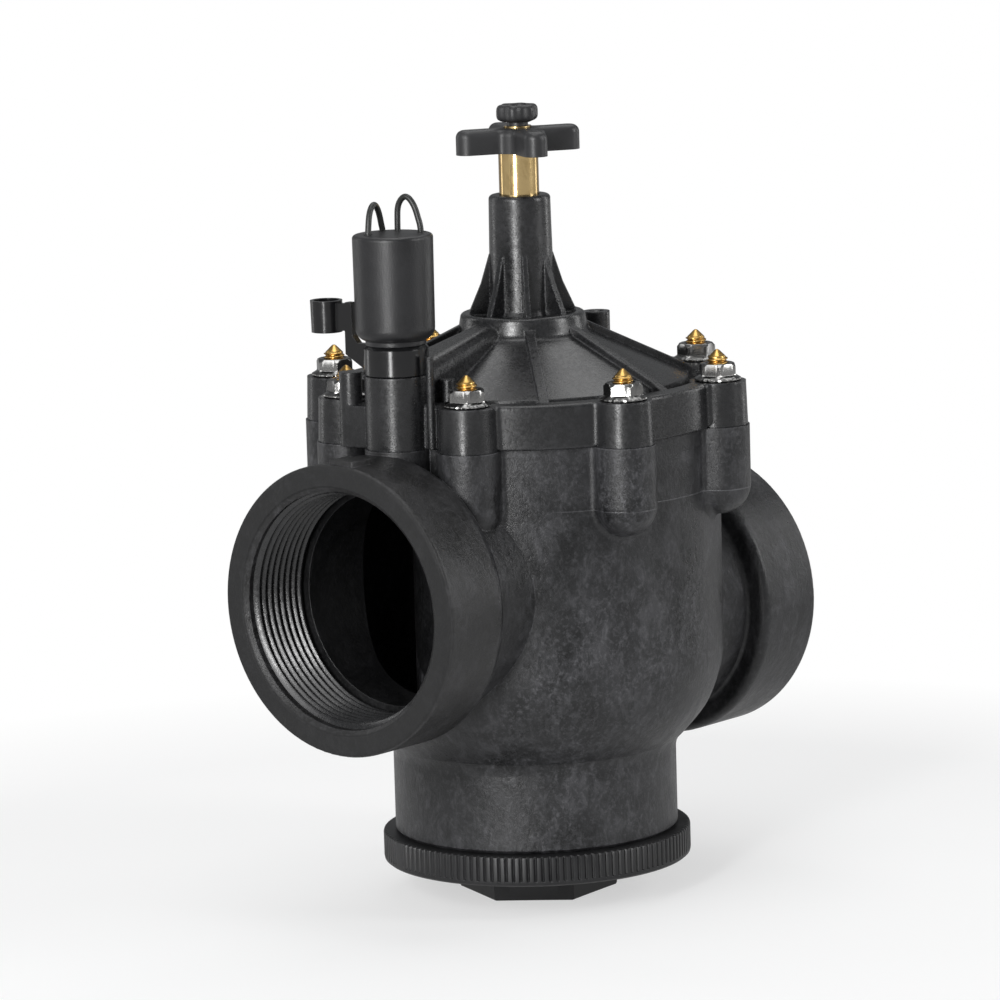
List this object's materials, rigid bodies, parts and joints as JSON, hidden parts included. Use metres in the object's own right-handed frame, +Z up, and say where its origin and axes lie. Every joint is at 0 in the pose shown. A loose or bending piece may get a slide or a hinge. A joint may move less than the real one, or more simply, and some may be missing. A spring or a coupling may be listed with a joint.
{
  "type": "irrigation control valve",
  "caption": "Globe and angle pattern diaphragm control valve with side inlet, side outlet, plugged bottom port, pilot solenoid, bleed lever, cross-handled flow control and bleed screw.",
  "frame": {"origin": "centre of the lower hex face of the bottom plug, on the stem axis", "axes": "+Z up along the stem axis, +X in the direction of flow, out of the outlet port"},
  "size_m": [0.2212, 0.1618, 0.2988],
  "materials": {
    "body_plastic": "glass-filled nylon, satin with grey fibre mottling",
    "bonnet_plastic": "glass-filled nylon, smoother satin",
    "plug_plastic": "satin black plastic",
    "handle_plastic": "satin black plastic",
    "lever_plastic": "gloss black plastic",
    "coil_plastic": "fine grained black epoxy case",
    "brass": "turned",
    "nut_steel": "bright stainless",
    "stainless": "turned stainless",
    "spring_steel": "drawn wire",
    "rubber": "moulded rubber",
    "wire_insulation": "dark grey insulation",
    "copper": "enamelled copper wire",
    "inner_nylon": "natural nylon"
  },
  "bodies": {
    "valve": {"valve_body": "body_plastic", "bonnet": "bonnet_plastic", "cover_studs": "brass", "flange_nuts": "nut_steel", "bottom_plug": "plug_plastic", "plug_seal": "rubber", "diaphragm": "rubber", "main_spring": "spring_steel", "pilot_seat": "brass", "pilot_filter": "inner_nylon"},
    "diaphragm_stack": {"diaphragm_plate": "stainless", "disc_holder": "inner_nylon", "seat_disc": "rubber", "disc_retainer": "inner_nylon", "diaphragm_bolt": "stainless", "diaphragm_nut": "stainless"},
    "thrust_washer": {"stem_thrust_washer": "inner_nylon"},
    "stem": {"flow_stem": "brass", "stem_o_rings": "rubber", "stem_clip": "spring_steel", "cross_handle": "handle_plastic"},
    "bleed_seal": {"bleed_o_ring": "rubber"},
    "bleed_screw": {"bleed_knob": "handle_plastic"},
    "lever": {"bleed_lever": "lever_plastic", "lever_o_ring": "rubber", "solenoid_housing": "coil_plastic", "lead_wires": "wire_insulation", "coil_yoke": "stainless", "coil_bobbin": "inner_nylon", "coil_winding": "copper", "armature_tube": "stainless", "fixed_core": "stainless", "solenoid_o_ring": "rubber", "plunger_spring": "spring_steel"},
    "plunger": {"plunger": "stainless", "plunger_seal": "rubber"}
  },
  "joints": [
    {"name": "diaphragm_lift", "type": "slide", "parent": "valve", "child": "diaphragm_stack", "axis": [0, 0, 1], "range_m": [0, 0.016], "deforming": ["diaphragm", "main_spring"]},
    {"name": "flow_lift", "type": "slide", "parent": "valve", "child": "thrust_washer", "axis": [0, 0, 1], "range_m": [-0.01524, 0]},
    {"name": "flow_turn", "type": "hinge", "parent": "thrust_washer", "child": "stem", "pos_m": [0, 0, 0.28], "axis": [0, 0, 1], "range_deg": [-2160.5, 0]},
    {"name": "bleed_lift", "type": "slide", "parent": "stem", "child": "bleed_seal", "axis": [0, 0, 1], "range_m": [0, 0.002]},
    {"name": "bleed_turn", "type": "hinge", "parent": "bleed_seal", "child": "bleed_screw", "pos_m": [0, 0, 0.295], "axis": [0, 0, 1], "range_deg": [0, 720.5]},
    {"name": "lever_turn", "type": "hinge", "parent": "valve", "child": "lever", "pos_m": [0.0743, 0, 0.21], "axis": [0, 0, 1], "range_deg": [0, 90]},
    {"name": "plunger_lift", "type": "slide", "parent": "lever", "child": "plunger", "axis": [0, 0, 1], "range_m": [0, 0.0022], "deforming": ["plunger_spring"]}
  ],
  "couplings": [
    {"joint": "flow_turn", "follows": "flow_lift", "rad_per_m": 2473.7},
    {"joint": "bleed_turn", "follows": "bleed_lift", "rad_per_m": 6283.2}
  ]
}
